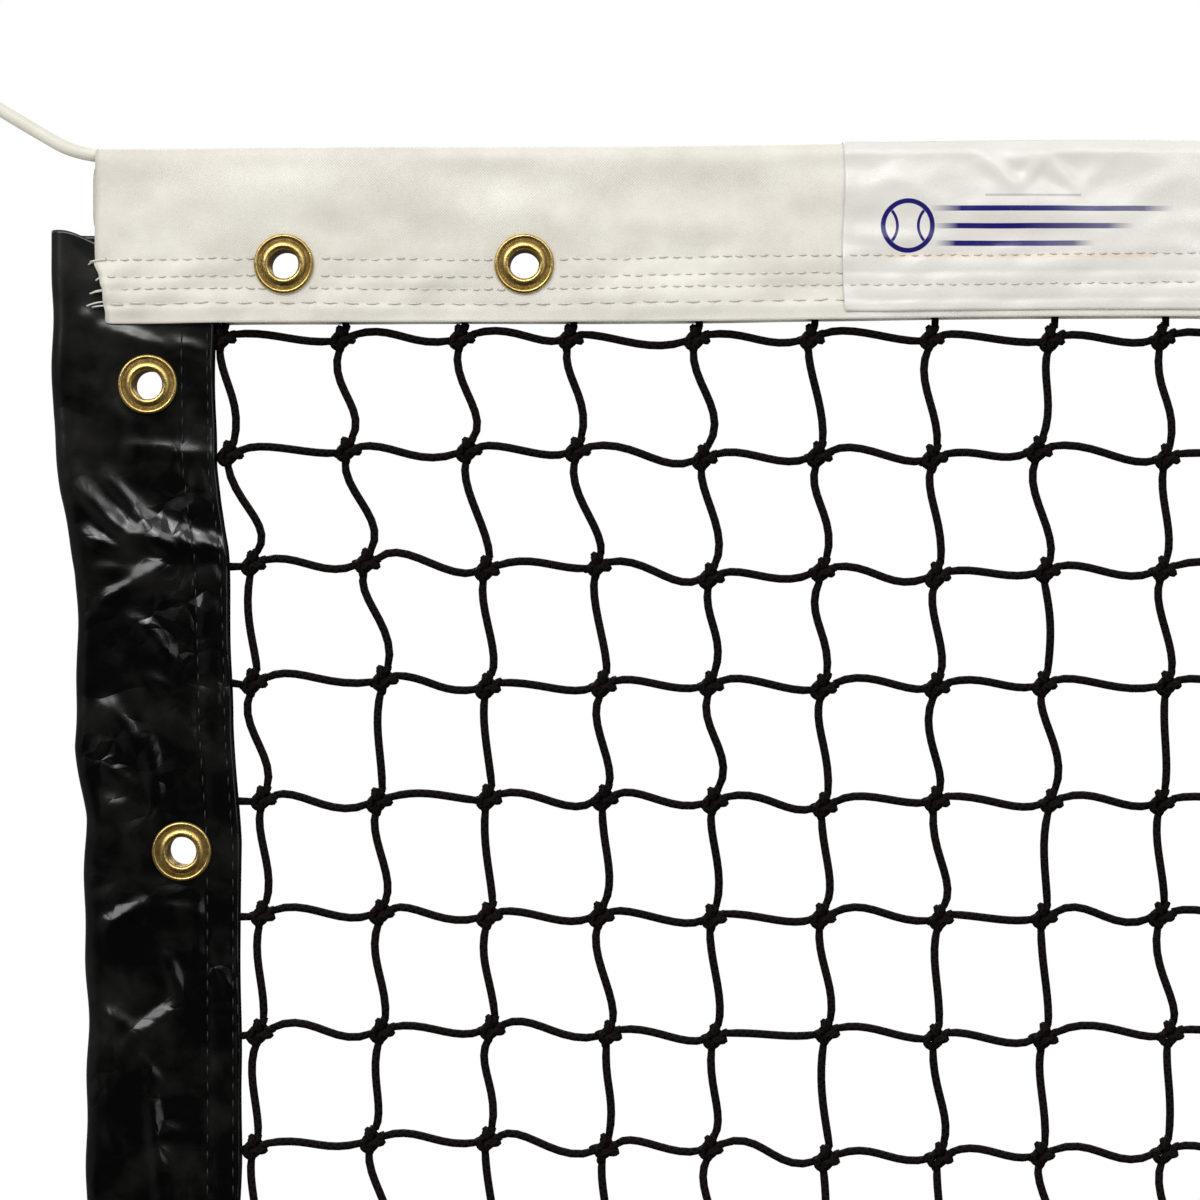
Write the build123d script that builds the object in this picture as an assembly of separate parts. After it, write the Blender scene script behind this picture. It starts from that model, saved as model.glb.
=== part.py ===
"""A full-size tennis net, upright as it hangs in use.

Frame: +X along the net, +Z up, +Y through the net. The origin lies on the headline cable's
centre line at the middle of the net, because the whole net hangs from that cable.
"""

from build123d import *
import math
import os

# ---------------------------------------------------------------- driving dimensions, in mm
NET_LENGTH = 12800.0  # across the outer edges of the side tapes, at their tops
NET_HEIGHT = 1067.0  # top of the headband to the bottom fold
MESH_COLUMNS = 286  # vertical strands
MESH_ROWS = 22  # horizontal strands between the headband and the bottom tape
COLUMN_SPAN = 12652.0  # first vertical strand to last
ROW_PITCH = 43.6
FIRST_ROW_DROP = 71.6  # top of the headband to the highest horizontal strand
TWINE = 3.0  # twine thickness, across flats

CABLE_RADIUS = 2.5
CABLE_DEPTH = 4.0  # cable's centre line below the top of the headband

BAND_HEIGHT = 66.5
BAND_INSET = 17.7  # from the side tape's outer edge to the headband's end
BAND_WALL = 1.0
BAND_HALF = 5.2  # half of the headband's outer thickness

TAPE_WALL = 0.8
TAPE_HALF = 4.0  # half of a side tape's outer thickness
TAPE_TOP_DROP = 31.5  # top of the headband to the side tape's open top

BOTTOM_TAPE_HEIGHT = 50.0
BOTTOM_TAPE_HALF = 5.0
BOTTOM_TAPE_INSET = 12.8  # the lower side tapes stand this far in from the upper ones

LABEL_WIDTH = 146.0
LABEL_INSET = 298.3  # from the side tape's outer edge to the label's left edge
LABEL_DROP = 64.0  # top of the headband to the label's lower edges
LABEL_GAP = 0.2
LABEL_WALL = 0.4

GROMMET_RADIUS = 11.2  # outside of the flange and of the washer
BORE_RADIUS = 5.5
BARREL_RADIUS = 6.1
FABRIC_HOLE_RADIUS = 6.3
WASHER_THICK = 0.8
SEAT_GAP = 0.1  # clearance under a flange and under a rolled lip
SIDE_GROMMETS = 6  # in each side tape
SIDE_GROMMET_DROP = 89.7  # top of the headband to the highest one
SIDE_GROMMET_PITCH = 175.2
SIDE_GROMMET_INSET = 37.3  # from the side tape's outer edge beside it
BAND_GROMMET_DROP = 44.6
BAND_GROMMET_INSETS = (88.5, 178.6)  # from the side tape's outer edge

FERRULE_LENGTH = 24.0
FERRULE_HALF_WIDTH = 6.6
FERRULE_HALF_THICK = 4.0
CABLE_SPACING = 5.5  # the two cables side by side in a ferrule
FERRULE_CLEARANCE = 0.05
EYE_HALF_WIDTH = 13.0
EYE_LENGTH = 60.0  # ferrule to the far side of the loop
EYE_SPREAD = (10.0, 29.0)  # past the ferrule, where the two legs start and stop to spread
DEAD_END = 3.0  # cable end that shows past the ferrule

# ---------------------------------------------------------------- worked out from them
TOP = CABLE_DEPTH
BOTTOM = TOP - NET_HEIGHT
END = NET_LENGTH / 2
BAND_END = END - BAND_INSET
ROUND_CENTRE = TOP - BAND_HALF  # centre of the headband's rounded top
FIRST_ROW = TOP - FIRST_ROW_DROP
STRAND_OFFSET = TWINE / 2 + 0.05  # rows lie just behind the middle plane, columns just before it

# A side tape's outline: distance in from the net's end, and drop from the headband's top.
# The tape hangs straight, steps inwards at its big crease and again lower down.
OUTER_EDGE = ((0.0, TAPE_TOP_DROP), (0.0, 100.0), (9.0, 160.0), (9.0, 226.0), (12.8, 246.0), (12.8, 1060.0))
INNER_EDGE = ((61.8, TAPE_TOP_DROP), (61.8, 128.0), (67.0, 152.0), (68.0, 218.0), (71.6, 264.0), (71.6, 1060.0))

# The left headline tail: distance out from the headband's end, and height over the cable's line.
TAIL_ROUTE = ((-14.0, 0.0), (5.5, 0.0), (24.0, 10.5), (47.0, 24.5), (78.0, 46.5), (115.0, 75.5), (151.0, 105.5))


def outline_face(points):
    """A face in the XZ plane from (x, z) points."""
    return Face(Wire.make_polygon([Vector(x, 0, z) for x, z in points], close=True))


def slab(face, half):
    """The XZ face thickened equally both ways along Y."""
    return extrude(face, amount=half, dir=(0, 1, 0), both=True)


def cross_bore(x, z, radius, length=40.0):
    """A cylinder along Y, for a hole through the fabric."""
    return Pos(x, 0, z) * Rot(90, 0, 0) * Cylinder(radius, length)


def folded_strip(half, wall, round_centre, lower, x0, x1):
    """A strip folded over the top: two flat sides and a half-round fold, extruded along X."""
    inner = half - wall
    section = Plane.YZ * (
        make_face(
            Line((-half, lower), (-half, round_centre))
            + ThreePointArc((-half, round_centre), (0, round_centre + half), (half, round_centre))
            + Line((half, round_centre), (half, lower))
            + Line((half, lower), (inner, lower))
            + Line((inner, lower), (inner, round_centre))
            + ThreePointArc((inner, round_centre), (0, round_centre + inner), (-inner, round_centre))
            + Line((-inner, round_centre), (-inner, lower))
            + Line((-inner, lower), (-half, lower))
        )
    )
    return Pos(x0, 0, 0) * extrude(section, amount=x1 - x0, dir=(1, 0, 0))


def make_headband():
    band = folded_strip(BAND_HALF, BAND_WALL, ROUND_CENTRE, TOP - BAND_HEIGHT, -BAND_END, BAND_END)
    for side in (-1, 1):
        for inset in BAND_GROMMET_INSETS:
            band -= cross_bore(side * (END - inset), TOP - BAND_GROMMET_DROP, FABRIC_HOLE_RADIUS)
    return band


def make_label():
    half = BAND_HALF + LABEL_GAP + LABEL_WALL
    x0 = -END + LABEL_INSET
    return folded_strip(half, LABEL_WALL, ROUND_CENTRE, TOP - LABEL_DROP, x0, x0 + LABEL_WIDTH)


def make_bottom_tape():
    """The bottom binding is the same folded strip upside down."""
    x1 = END - BOTTOM_TAPE_INSET
    centre = BOTTOM_TAPE_HALF
    strip = folded_strip(BOTTOM_TAPE_HALF, TAPE_WALL, -centre, -BOTTOM_TAPE_HEIGHT, -x1, x1)
    return Pos(0, 0, BOTTOM) * Rot(180, 0, 0) * strip


def side_grommet_place(number):
    """The (x, z) of a left side grommet, counted from the top."""
    drop = SIDE_GROMMET_DROP + number * SIDE_GROMMET_PITCH
    outer = 0.0 if number == 0 else OUTER_EDGE[-1][0]
    return -END + outer + SIDE_GROMMET_INSET, TOP - drop


def make_side_tape():
    """The left side tape: a sleeve folded at its outer edge, open at its top, foot and net side."""
    outer = [(-END + inset, TOP - drop) for inset, drop in OUTER_EDGE]
    inner = [(-END + inset, TOP - drop) for inset, drop in INNER_EDGE]
    tape = slab(outline_face(outer + inner[::-1]), TAPE_HALF)
    past = 10.0
    fold = [(x + TAPE_WALL, z) for x, z in outer]
    fold[0] = (fold[0][0], fold[0][1] + past)
    fold[-1] = (fold[-1][0], fold[-1][1] - past)
    beyond = -END + INNER_EDGE[-1][0] + past
    hollow = fold + [(beyond, fold[-1][1]), (beyond, fold[0][1])]
    tape -= slab(outline_face(hollow), TAPE_HALF - TAPE_WALL)
    for number in range(SIDE_GROMMETS):
        tape -= cross_bore(*side_grommet_place(number), FABRIC_HOLE_RADIUS)
    return tape


def make_grommet(fabric_half):
    """A brass eyelet: beaded front flange, inner roll, plain barrel and a lip rolled over the washer."""
    seat = fabric_half + SEAT_GAP
    lip = seat + WASHER_THICK + SEAT_GAP
    section = make_face(
        Line((BORE_RADIUS, lip + 0.2), (BORE_RADIUS, -seat - 0.7))
        + ThreePointArc((BORE_RADIUS, -seat - 0.7), (5.9, -seat - 1.5), (6.8, -seat - 1.8))
        + ThreePointArc((6.8, -seat - 1.8), (7.9, -seat - 1.45), (8.6, -seat - 0.8))
        + Line((8.6, -seat - 0.8), (9.6, -seat - 0.8))
        + ThreePointArc((9.6, -seat - 0.8), (10.6, -seat - 1.3), (GROMMET_RADIUS, -seat - 0.4))
        + Line((GROMMET_RADIUS, -seat - 0.4), (GROMMET_RADIUS, -seat))
        + Line((GROMMET_RADIUS, -seat), (BARREL_RADIUS, -seat))
        + Line((BARREL_RADIUS, -seat), (BARREL_RADIUS, lip))
        + Line((BARREL_RADIUS, lip), (8.4, lip))
        + ThreePointArc((8.4, lip), (7.4, lip + 1.2), (BORE_RADIUS, lip + 0.2))
    )
    return revolve(section, Axis.Y, 360)


def make_washer(fabric_half):
    """The flat ring that the barrel is rolled over, with a rounded outer edge."""
    seat = fabric_half + SEAT_GAP
    hole = FABRIC_HOLE_RADIUS
    section = make_face(
        Line((hole, seat), (GROMMET_RADIUS - 0.4, seat))
        + ThreePointArc(
            (GROMMET_RADIUS - 0.4, seat),
            (GROMMET_RADIUS, seat + WASHER_THICK / 2),
            (GROMMET_RADIUS - 0.4, seat + WASHER_THICK),
        )
        + Line((GROMMET_RADIUS - 0.4, seat + WASHER_THICK), (hole, seat + WASHER_THICK))
        + Line((hole, seat + WASHER_THICK), (hole, seat))
    )
    return revolve(section, Axis.Y, 360)


def make_strands():
    """The netting's strands as octagonal rods: all rows in one group, all columns in another."""
    flat_to_corner = TWINE / 2 / math.cos(math.pi / 8)
    row_half = END - 45.0  # the rows end inside the side tapes, past the two sewn lines
    row = extrude(Plane.YZ * RegularPolygon(flat_to_corner, 8, rotation=22.5), amount=row_half, both=True)
    rows = [
        Pos(0, -STRAND_OFFSET, FIRST_ROW - number * ROW_PITCH) * row for number in range(MESH_ROWS)
    ]
    high = TOP - 38.0  # inside the headband, above its sewn lines
    low = BOTTOM + 22.0  # inside the bottom tape
    column = extrude(Plane.XY * RegularPolygon(flat_to_corner, 8, rotation=22.5), amount=high - low)
    pitch = COLUMN_SPAN / (MESH_COLUMNS - 1)
    columns = [
        Pos(-COLUMN_SPAN / 2 + number * pitch, STRAND_OFFSET, low) * column
        for number in range(MESH_COLUMNS)
    ]
    return rows, columns


def tube(points, radii):
    """A round cable along straight runs joined by tangent arcs."""
    path = FilletPolyline(*points, radius=radii, close=False)
    wire = Wire(path.edges())
    section = Plane(origin=wire @ 0, z_dir=wire % 0) * Circle(CABLE_RADIUS)
    solid = sweep(section, path=wire)
    return solid, wire


def corner_radii(points):
    """For each corner, 0.45 of the shorter run over the tangent of half the turn."""
    radii = []
    for before, here, after in zip(points, points[1:], points[2:]):
        shorter = min((here - before).length, (after - here).length)
        half_turn = math.radians((here - before).get_angle(after - here)) / 2
        radii.append(0.45 * shorter / math.tan(half_turn))
    return radii


def make_tail():
    """The left headline tail from inside the headband's mouth to the face of its ferrule."""
    points = [Vector(-BAND_END - out, 0, up) for out, up in TAIL_ROUTE]
    radii = corner_radii(points)
    solid, wire = tube(points, radii)
    print("tail radii", [round(r, 1) for r in radii], "length", round(wire.length, 1))
    ideal = math.pi * CABLE_RADIUS**2 * wire.length
    print("tail volume over section times length", round(solid.volume / ideal, 5))
    return solid, points


def eye_frame(points):
    """The frame of the end loop: origin at the tail's end, X on along the cable, Y across the loop."""
    along = (points[-1] - points[-2]).normalized()
    return Plane(origin=points[-1], x_dir=along, z_dir=(0, 1, 0))


def make_eye(frame):
    """The cable's end loop: through the ferrule, round the teardrop and back through the ferrule."""
    half = CABLE_SPACING
    start, stop = (FERRULE_LENGTH + past for past in EYE_SPREAD)
    far = FERRULE_LENGTH + EYE_LENGTH
    upper, lower = EYE_HALF_WIDTH - half / 2, -EYE_HALF_WIDTH - half / 2
    flat = [(0, 0), (start, 0), (stop, upper), (far, upper)]
    flat += [(far, lower), (stop, lower), (start, -half), (-DEAD_END, -half)]
    points = [frame.from_local_coords(Vector(a, b, 0)) for a, b in flat]
    radii = corner_radii(points)
    radii[2] = radii[3] = EYE_HALF_WIDTH * 0.99
    solid, wire = tube(points, radii)
    print("eye radii", [round(r, 1) for r in radii], "length", round(wire.length, 1))
    return solid


def make_ferrule(frame):
    """A swaged sleeve of rounded section with one bore for each of the two cables."""
    middle = -CABLE_SPACING / 2
    section = RectangleRounded(2 * FERRULE_HALF_WIDTH, 2 * FERRULE_HALF_THICK, FERRULE_HALF_THICK * 0.95)
    across = Plane(
        origin=frame.from_local_coords(Vector(0, middle, 0)),
        x_dir=frame.y_dir,
        z_dir=frame.x_dir,
    )
    sleeve = extrude(across * section, amount=FERRULE_LENGTH)
    for offset in (-CABLE_SPACING / 2, CABLE_SPACING / 2):
        hole = across * Pos(offset, 0) * Circle(CABLE_RADIUS + FERRULE_CLEARANCE)
        sleeve -= extrude(hole, amount=FERRULE_LENGTH)
    return sleeve


def save(name, *solids):
    """Writes one node: a single solid, or a group of separate ones."""
    pieces = [piece for solid in solids for piece in solid.solids()]
    shape = pieces[0] if len(pieces) == 1 else Compound(children=pieces)
    export_step(shape, f"parts/{name}.step")


def save_pair(name, left_solid):
    """Writes a left piece and its mirror image at the net's other end."""
    save(f"{name}_left", left_solid)
    save(f"{name}_right", mirror(left_solid, about=Plane.YZ))


def main():
    os.makedirs("parts", exist_ok=True)
    save("headband", make_headband())
    save("label_patch", make_label())
    save("bottom_tape", make_bottom_tape())
    save_pair("side_tape", make_side_tape())

    rows, columns = make_strands()
    save("mesh_rows", *rows)
    save("mesh_columns", *columns)

    save("headline_cable", Rot(0, 90, 0) * Cylinder(CABLE_RADIUS, 2 * (BAND_END + TAIL_ROUTE[0][0])))
    tail, points = make_tail()
    frame = eye_frame(points)
    save_pair("headline_tail", tail)
    save_pair("cable_eye", make_eye(frame))
    save_pair("ferrule", make_ferrule(frame))

    grommet, washer = make_grommet(TAPE_HALF), make_washer(TAPE_HALF)
    for number in range(SIDE_GROMMETS):
        x, z = side_grommet_place(number)
        save_pair(f"side_grommet_{number + 1}", Pos(x, 0, z) * grommet)
        save_pair(f"side_washer_{number + 1}", Pos(x, 0, z) * washer)

    grommet, washer = make_grommet(BAND_HALF), make_washer(BAND_HALF)
    for number, inset in enumerate(BAND_GROMMET_INSETS):
        place = Pos(-END + inset, 0, TOP - BAND_GROMMET_DROP)
        save_pair(f"band_grommet_{number + 1}", place * grommet)
        save_pair(f"band_washer_{number + 1}", place * washer)


main()
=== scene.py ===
"""A full-size tennis net, seen square on at its upper left corner.

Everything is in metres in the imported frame's axes: +X along the net, +Z up, +Y away from the front.
The sections follow the net as it is put together: cable, netting, tapes, headband, label, grommets, thread.
"""

import math

import bpy
import numpy as np
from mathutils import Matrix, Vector


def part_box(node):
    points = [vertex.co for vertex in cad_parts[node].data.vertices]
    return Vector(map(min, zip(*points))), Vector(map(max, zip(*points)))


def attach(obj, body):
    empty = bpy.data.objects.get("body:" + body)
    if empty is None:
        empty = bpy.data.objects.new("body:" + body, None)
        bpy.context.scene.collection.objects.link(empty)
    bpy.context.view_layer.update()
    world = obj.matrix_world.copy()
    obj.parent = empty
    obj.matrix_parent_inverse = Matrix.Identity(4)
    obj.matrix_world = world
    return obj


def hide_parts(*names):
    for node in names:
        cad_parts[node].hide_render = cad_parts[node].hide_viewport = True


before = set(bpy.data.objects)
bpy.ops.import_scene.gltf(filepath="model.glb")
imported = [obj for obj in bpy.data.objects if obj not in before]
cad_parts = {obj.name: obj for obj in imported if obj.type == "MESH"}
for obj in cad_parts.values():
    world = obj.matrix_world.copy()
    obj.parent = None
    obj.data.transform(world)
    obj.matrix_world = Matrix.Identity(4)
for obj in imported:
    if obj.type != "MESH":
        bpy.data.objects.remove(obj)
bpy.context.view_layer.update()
MM = 0.001

# ---- Camera, light and floor -----------------------------------------------------------------
# The camera stands square on, a metre off, and takes in the top 452 mm of the net's left end.
# Soft boxes light it from the upper left, overhead and the right, and three more from behind.
# The floor is kept out of mirrored light, so black cloth that tilts down stays black.
band_low, band_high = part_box("headband")
tape_low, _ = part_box("side_tape_left")
foot_low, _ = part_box("bottom_tape")
TOP, LEFT, RIGHT, FOOT = band_high.z, tape_low.x, -tape_low.x, foot_low.z
PICTURE_WIDTH = 452 * MM
VIEW_INSET, VIEW_DROP = 207 * MM, 170.5 * MM  # the picture's middle, from the net's left end and top
LENS, SENSOR = 85.0, 36.0

scene = bpy.context.scene
scene.view_settings.view_transform = "Standard"
camera_data = bpy.data.cameras.new("camera")
camera_data.lens = LENS
camera_data.sensor_width = SENSOR
camera_data.clip_start = 0.05
camera_data.clip_end = 200.0
camera = bpy.data.objects.new("camera", camera_data)
camera.location = (LEFT + VIEW_INSET, -PICTURE_WIDTH * LENS / SENSOR, TOP - VIEW_DROP)
camera.rotation_euler = (math.radians(90), 0, 0)
scene.collection.objects.link(camera)
scene.camera = camera


def sun(name, shines_towards, energy, spread):
    """A distant light as wide as spread, in degrees."""
    lamp = bpy.data.lights.new(name, "SUN")
    lamp.energy = energy
    lamp.angle = math.radians(spread)
    holder = bpy.data.objects.new(name, lamp)
    holder.rotation_euler = Vector(shines_towards).to_track_quat("-Z", "Y").to_euler()
    scene.collection.objects.link(holder)


sun("key_light", (0.62, 0.85, -0.55), 0.96, 30)
sun("overhead_box", (0.12, 0.80, -0.62), 0.76, 26)
sun("overhead_hot_centre", (0.06, 0.80, -0.60), 0.13, 7)
sun("right_box", (-0.38, 0.79, -0.48), 0.42, 22)
sun("right_low_box", (-0.56, 0.83, -0.08), 0.16, 24)
sun("back_light", (0.3, -0.9, -0.6), 0.55, 34)
sun("back_box_left", (0.45, -0.75, -0.35), 0.40, 24)
sun("back_box_right", (-0.40, -0.80, -0.45), 0.40, 24)

world = bpy.data.worlds.new("studio")
scene.world = world
world.use_nodes = True
world_nodes = world.node_tree.nodes
world_links = world.node_tree.links
lit = world_nodes["Background"]
seen = world_nodes.new("ShaderNodeBackground")
seen.inputs["Color"].default_value = (1.0, 1.0, 1.0, 1.0)
direction = world_nodes.new("ShaderNodeTexCoord")
axes = world_nodes.new("ShaderNodeSeparateXYZ")
world_links.new(direction.outputs["Generated"], axes.inputs[0])
sideways = world_nodes.new("ShaderNodeMath")
sideways.operation = "ABSOLUTE"
world_links.new(axes.outputs["X"], sideways.inputs[0])
brightest = world_nodes.new("ShaderNodeMath")
brightest.operation = "MAXIMUM"
# The room is bright overhead, dim at both sides and dark in front and behind.
for slot, amount, steps in (
    (0, axes.outputs["Z"], ((0.22, 0.05), (0.62, 1.0))),
    (1, sideways.outputs[0], ((0.30, 0.05), (0.80, 0.26))),
):
    shade = world_nodes.new("ShaderNodeValToRGB")
    for stop, (place, level) in zip(shade.color_ramp.elements, steps):
        stop.position = place
        stop.color = (level, level, level, 1.0)
    world_links.new(amount, shade.inputs[0])
    world_links.new(shade.outputs[0], brightest.inputs[slot])
world_links.new(brightest.outputs[0], lit.inputs["Color"])
lit.inputs["Strength"].default_value = 0.70
ray = world_nodes.new("ShaderNodeLightPath")
either = world_nodes.new("ShaderNodeMixShader")
world_links.new(ray.outputs["Is Camera Ray"], either.inputs[0])
world_links.new(lit.outputs[0], either.inputs[1])
world_links.new(seen.outputs[0], either.inputs[2])
world_links.new(either.outputs[0], world_nodes["World Output"].inputs["Surface"])

FLOOR_X, FLOOR_Y = RIGHT + 2.5, 2.9
floor_mesh = bpy.data.meshes.new("floor")
floor_corners = ((-1, -1), (1, -1), (1, 1), (-1, 1))
floor_mesh.from_pydata([(x * FLOOR_X, y * FLOOR_Y, FOOT) for x, y in floor_corners], [], [(0, 1, 2, 3)])
floor = bpy.data.objects.new("floor", floor_mesh)
scene.collection.objects.link(floor)
floor_paint = bpy.data.materials.new("floor_paint")
floor_paint.use_nodes = True
floor_shader = floor_paint.node_tree.nodes["Principled BSDF"]
floor_shader.inputs["Base Color"].default_value = (0.66, 0.66, 0.65, 1)
floor_shader.inputs["Roughness"].default_value = 0.8
floor_mesh.materials.append(floor_paint)
floor.visible_glossy = False  # the black cloth and the brass don't mirror it


# ---- Headline tails --------------------------------------------------------------------------
# Steel cable in a smooth cream coating, 5 mm thick. It leaves the headband's mouth at each end
# and rises to the hook that holds it taut, so it is stiff and bends only a little.
class Signal:
    """One socket of a node tree. Arithmetic on it adds Math nodes; node() adds any other node."""

    def __init__(self, tree, socket=None):
        self.tree = tree
        self.socket = socket

    def node(self, kind, settings=None, inputs=None, output=0):
        made = self.tree.nodes.new("ShaderNode" + kind)
        for name, value in (settings or {}).items():
            if name == "stops":
                ramp = made.color_ramp.elements
                while len(ramp) < len(value):
                    ramp.new(0.5)
                for stop, (place, shade) in zip(ramp, value):
                    stop.position = place
                    stop.color = (shade, shade, shade, 1) if isinstance(shade, float) else (*shade, 1)
            else:
                setattr(made, name, value)
        for name, value in (inputs or {}).items():
            if isinstance(value, Signal):
                self.tree.links.new(value.socket, made.inputs[name])
            else:
                made.inputs[name].default_value = value
        return Signal(self.tree, made.outputs[output])

    def math(self, operation, *values):
        return self.node("Math", {"operation": operation}, dict(enumerate(values)))

    def __add__(self, other):
        return self.math("ADD", self, other)

    def __radd__(self, other):
        return self.math("ADD", other, self)

    def __sub__(self, other):
        return self.math("SUBTRACT", self, other)

    def __rsub__(self, other):
        return self.math("SUBTRACT", other, self)

    def __mul__(self, other):
        return self.math("MULTIPLY", self, other)

    def __rmul__(self, other):
        return self.math("MULTIPLY", other, self)

    def __truediv__(self, other):
        return self.math("DIVIDE", self, other)

    def __abs__(self):
        return self.math("ABSOLUTE", self)

    def held(self):
        """Kept between 0 and 1."""
        return self.node("Clamp", inputs={"Value": self})

    def stain(self, place, scale, detail=3.0, rough=0.55, turn=0.0):
        """Even cloudy noise from 0 to 1 about a half, read at place."""
        return self.node(
            "TexNoise",
            {"noise_dimensions": "3D"},
            {"Vector": place, "Scale": scale, "Detail": detail, "Roughness": rough, "Distortion": turn},
        )

    def blend(self, first, second):
        """Colour first where this is 0 and second where it is 1."""
        mix = {"Factor": self, 6: first, 7: second}
        return self.node("Mix", {"data_type": "RGBA"}, mix, output=2)

    def into(self, shader, name):
        self.tree.links.new(self.socket, shader.inputs[name])


def new_material(name, **plain):
    """A material, its shader with the plain values set, a Signal to start from and Object coordinates."""
    material = bpy.data.materials.new(name)
    material.use_nodes = True
    shader = material.node_tree.nodes["Principled BSDF"]
    for socket, value in plain.items():
        shader.inputs[socket.replace("_", " ")].default_value = value
    start = Signal(material.node_tree)
    return material, shader, start, start.node("TexCoord", output=3)


def bump(start, shader, height, distance):
    """Relief of that height signal, distance metres deep at full strength."""
    relief = start.node("Bump", inputs={"Height": height, "Distance": distance, "Strength": 1.0})
    relief.into(shader, "Normal")


def cable_coating():
    """Smooth cream plastic, a little soiled and scuffed."""
    material, shader, start, place = new_material("cable_coating", Specular_IOR_Level=0.45)
    cloud = start.stain(place, 55.0)
    scuff = start.stain(place, 420.0, 4.0)
    dirty = ((cloud - 0.5) * 1.8 + (scuff - 0.5) * 0.25 + 0.35).held()
    dirty.blend((0.83, 0.80, 0.72, 1), (0.70, 0.66, 0.56, 1)).into(shader, "Base Color")
    (0.38 + scuff * 0.14).into(shader, "Roughness")
    bump(start, shader, scuff * 0.05 + cloud, 0.00025)
    return material


CABLE_RADIUS = 2.5 * MM
BAND_END = -band_low.x
# Control points of a tail: how far out from the headband's end, and how far up, in mm.
TAIL_POINTS = (
    (-14.0, 0.0), (5.5, 0.0), (24.0, 10.5), (47.0, 24.5), (78.0, 46.5), (115.0, 75.5), (151.0, 105.5),
)
coating = cable_coating()


def round_curve(name, points, radius, material):
    """A round cable on one smooth NURBS spline with these control points."""
    curve = bpy.data.curves.new(name, "CURVE")
    curve.dimensions = "3D"
    curve.bevel_depth = radius
    curve.bevel_resolution = 5
    curve.use_fill_caps = True
    spline = curve.splines.new("NURBS")
    spline.points.add(len(points) - 1)
    for point, place in zip(spline.points, points):
        point.co = (*place, 1)
    spline.order_u = 3
    spline.use_endpoint_u = True
    spline.resolution_u = 10
    curve.materials.append(material)
    made = bpy.data.objects.new(name, curve)
    scene.collection.objects.link(made)
    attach(made, "root")
    return made


for side, name in ((-1, "left"), (1, "right")):
    route = [(side * (BAND_END + out * MM), 0.0, up * MM) for out, up in TAIL_POINTS]
    round_curve(f"tail_cable_{name}", route, CABLE_RADIUS, coating)
    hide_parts(f"headline_tail_{name}")

# The length inside the headband lies straight in its fold and keeps its plain round shape.
inner_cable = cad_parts["headline_cable"]
inner_cable.data.materials.clear()
inner_cable.data.materials.append(coating)

# ---- Cable end loops and their ferrules --------------------------------------------------------
# Beyond each tail the cable passes through an aluminium sleeve, goes round a loop for the
# post's hook and back through the sleeve, which is pressed on it in three places.
# A loop's control points, in mm: along the tail's line from its end, and across it.
LOOP_POINTS = (
    (0, 0), (25, 0), (37, 2.2), (53, 9.9), (68, 11.6), (80, 11.4), (84.8, 4.5), (84.8, -10.0),
    (80, -16.9), (68, -17.1), (53, -15.4), (37, -7.7), (25, -5.5), (-3, -5.5),
)
# A sleeve's rings: distance along it in mm, and share of its full thickness.
SLEEVE_RINGS = (
    (0.2, 0.86), (0.8, 0.97), (3.0, 1.0), (4.6, 0.97), (5.6, 0.86), (6.8, 0.86), (7.8, 0.98), (10.0, 1.0),
    (11.2, 0.86), (12.8, 0.86), (14.0, 1.0), (16.2, 0.98), (17.2, 0.86), (18.4, 0.86), (19.4, 0.97),
    (21.0, 1.0), (23.2, 0.97), (23.8, 0.86),
)
SLEEVE_HALF_WIDTH, SLEEVE_HALF_THICK = 6.6, 4.0
SLEEVE_MIDDLE = 2.75  # how far the sleeve's middle lies off the tail's line, between the two cables
SLEEVE_SIDES = 12


def ferrule_metal():
    """Pressed aluminium, grey where it has rubbed."""
    material, shader, start, place = new_material("ferrule_metal", Metallic=1.0)
    grain = start.stain(place, 900.0, 5.0)
    wear = start.stain(place, 160.0, 3.0)
    (wear * 1.3 - 0.2).held().blend((0.62, 0.62, 0.63, 1), (0.78, 0.78, 0.79, 1)).into(shader, "Base Color")
    (0.30 + grain * 0.2).into(shader, "Roughness")
    bump(start, shader, grain, 0.00008)
    return material


def mesh_piece(name, points, faces, material):
    """A smooth-shaded piece from points in metres and faces, riding on the net."""
    mesh = bpy.data.meshes.new(name)
    mesh.from_pydata(points, [], faces)
    mesh.shade_smooth()
    mesh.materials.append(material)
    made = bpy.data.objects.new(name, mesh)
    scene.collection.objects.link(made)
    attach(made, "root")
    return made


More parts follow.
